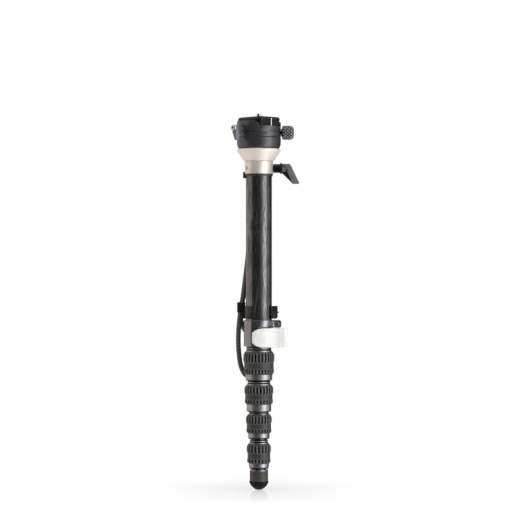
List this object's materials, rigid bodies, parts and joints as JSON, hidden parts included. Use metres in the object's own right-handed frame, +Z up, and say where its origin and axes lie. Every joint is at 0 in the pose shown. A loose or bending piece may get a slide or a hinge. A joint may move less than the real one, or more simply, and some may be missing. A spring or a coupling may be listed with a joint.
{
  "type": "camera monopod",
  "caption": "Folded telescopic carbon monopod with a flip lock, ribbed twist locks, panning plate clamp, hanging lock levers, corded wrist loop and domed rubber foot.",
  "frame": {"origin": "tip of the rubber foot on the leg's axis, leg folded", "axes": "+Z up along the leg, the picture looks along +Y, +X to the right"},
  "size_m": [0.0909, 0.0781, 0.5039],
  "materials": {
    "carbon": "clear-coated carbon tube, glossy black",
    "black_anodised": "black satin anodising",
    "champagne": "pale warm anodising, fine satin",
    "gunmetal": "dark grey anodising, turned",
    "holder_grey": "matte grey-brown anodising",
    "lever_metal": "light polished alloy",
    "plate_grey": "light grey anodising",
    "blade_grey": "mid-grey speckled anodising",
    "steel": "plain steel",
    "black_plastic": "black plastic",
    "white_plastic": "slippery off-white plastic",
    "grip_rubber": "matte dark rubber",
    "foot_rubber": "hard black rubber",
    "cord": "woven black cord"
  },
  "bodies": {
    "upper_leg": {"section_1_tube": "carbon", "flip_lock_body": "black_anodised", "flip_lock_liner": "white_plastic", "flip_eye_bolt": "steel", "flip_lock_nut": "steel", "pinch_screw": "steel", "strap_keeper": "black_plastic", "trim_ring": "black_anodised", "top_collar": "champagne", "strap_lug": "black_plastic", "strap_slider": "black_plastic", "strap_cord": "cord"},
    "flip_lever": {"flip_lever": "lever_metal", "flip_lever_pin": "steel"},
    "platform": {"platform": "champagne", "spindle_retainer": "steel", "head_screw": "steel", "head_base": "black_anodised", "pan_bearing": "white_plastic", "pan_plate": "steel"},
    "platform_lock": {"platform_lock_stem": "black_anodised", "platform_lock_lever": "blade_grey"},
    "pan_head": {"pan_body": "black_anodised", "jaw_guide_pins": "steel"},
    "pan_knob": {"pan_knob": "black_anodised"},
    "clamp_jaw": {"clamp_jaw": "black_anodised"},
    "clamp_lever": {"clamp_lever": "plate_grey", "clamp_screw": "steel"},
    "lens_plate": {"lens_plate": "black_anodised", "plate_pad": "grip_rubber", "plate_stop_pins": "steel"},
    "camera_screw": {"camera_screw": "steel"},
    "section_2": {"section_2_tube": "carbon", "section_2_bush": "black_plastic", "lock_1_ferrule": "gunmetal", "lock_1_collet": "white_plastic"},
    "section_3": {"section_3_tube": "carbon", "section_3_bush": "black_plastic", "lock_2_ferrule": "gunmetal", "lock_2_collet": "white_plastic"},
    "section_4": {"section_4_tube": "carbon", "section_4_bush": "black_plastic", "lock_3_ferrule": "gunmetal", "lock_3_collet": "white_plastic"},
    "section_5": {"section_5_tube": "carbon", "section_5_bush": "black_plastic", "lock_4_ferrule": "gunmetal", "lock_4_collet": "white_plastic"},
    "section_6": {"section_6_tube": "carbon", "section_6_bush": "black_plastic", "foot_holder": "holder_grey", "foot_pad": "foot_rubber"},
    "lock_1": {"lock_1_nut": "gunmetal", "lock_1_grip": "grip_rubber"},
    "lock_2": {"lock_2_nut": "gunmetal", "lock_2_grip": "grip_rubber"},
    "lock_3": {"lock_3_nut": "gunmetal", "lock_3_grip": "grip_rubber"},
    "lock_4": {"lock_4_nut": "gunmetal", "lock_4_grip": "grip_rubber"}
  },
  "joints": [
    {"name": "platform_pan", "type": "hinge", "parent": "upper_leg", "child": "platform", "pos_m": [0, 0, 0.4402], "axis": [0, 0, 1], "continuous": true},
    {"name": "platform_lock_turn", "type": "hinge", "parent": "upper_leg", "child": "platform_lock", "pos_m": [0.0189, 0, 0.4305], "axis": [1, 0, 0], "range_deg": [0, 180]},
    {"name": "head_pan", "type": "hinge", "parent": "platform", "child": "pan_head", "pos_m": [0, 0, 0.4718], "axis": [0, 0, 1], "continuous": true},
    {"name": "pan_knob_turn", "type": "hinge", "parent": "pan_head", "child": "pan_knob", "pos_m": [0.0312, 0, 0.4784], "axis": [1, 0, 0], "range_deg": [0, 270]},
    {"name": "clamp_jaw_slide", "type": "slide", "parent": "pan_head", "child": "clamp_jaw", "axis": [-0.7431, -0.6691, 0], "range_m": [0, 0.002]},
    {"name": "clamp_lever_turn", "type": "hinge", "parent": "clamp_jaw", "child": "clamp_lever", "pos_m": [0, 0, 0.4832], "axis": [-0.7431, -0.6691, 0], "range_deg": [0, 360]},
    {"name": "plate_slide", "type": "slide", "parent": "pan_head", "child": "lens_plate", "axis": [0.6691, -0.7431, 0], "range_m": [-0.003, 0.003]},
    {"name": "camera_screw_turn", "type": "hinge", "parent": "lens_plate", "child": "camera_screw", "pos_m": [0, 0, 0.4917], "axis": [0, 0, 1], "continuous": true},
    {"name": "flip_lever_swing", "type": "hinge", "parent": "upper_leg", "child": "flip_lever", "pos_m": [0.0313, -0.008, 0.20405], "axis": [0, 0, 1], "range_deg": [0, 100]},
    {"name": "section_2_slide", "type": "slide", "parent": "upper_leg", "child": "section_2", "axis": [0, 0, -1], "range_m": [0, 0.155]},
    {"name": "section_3_slide", "type": "slide", "parent": "section_2", "child": "section_3", "axis": [0, 0, -1], "range_m": [0, 0.21]},
    {"name": "section_4_slide", "type": "slide", "parent": "section_3", "child": "section_4", "axis": [0, 0, -1], "range_m": [0, 0.25]},
    {"name": "section_5_slide", "type": "slide", "parent": "section_4", "child": "section_5", "axis": [0, 0, -1], "range_m": [0, 0.28]},
    {"name": "section_6_slide", "type": "slide", "parent": "section_5", "child": "section_6", "axis": [0, 0, -1], "range_m": [0, 0.315]},
    {"name": "lock_1_turn", "type": "hinge", "parent": "section_2", "child": "lock_1", "pos_m": [0, 0, 0.166], "axis": [0, 0, 1], "range_deg": [0, 90]},
    {"name": "lock_2_turn", "type": "hinge", "parent": "section_3", "child": "lock_2", "pos_m": [0, 0, 0.123], "axis": [0, 0, 1], "range_deg": [0, 90]},
    {"name": "lock_3_turn", "type": "hinge", "parent": "section_4", "child": "lock_3", "pos_m": [0, 0, 0.085], "axis": [0, 0, 1], "range_deg": [0, 90]},
    {"name": "lock_4_turn", "type": "hinge", "parent": "section_5", "child": "lock_4", "pos_m": [0, 0, 0.046], "axis": [0, 0, 1], "range_deg": [0, 90]}
  ],
  "couplings": [
    {"joint": "clamp_jaw_slide", "follows": "clamp_lever_turn", "m_per_rad": 0.00023873}
  ]
}
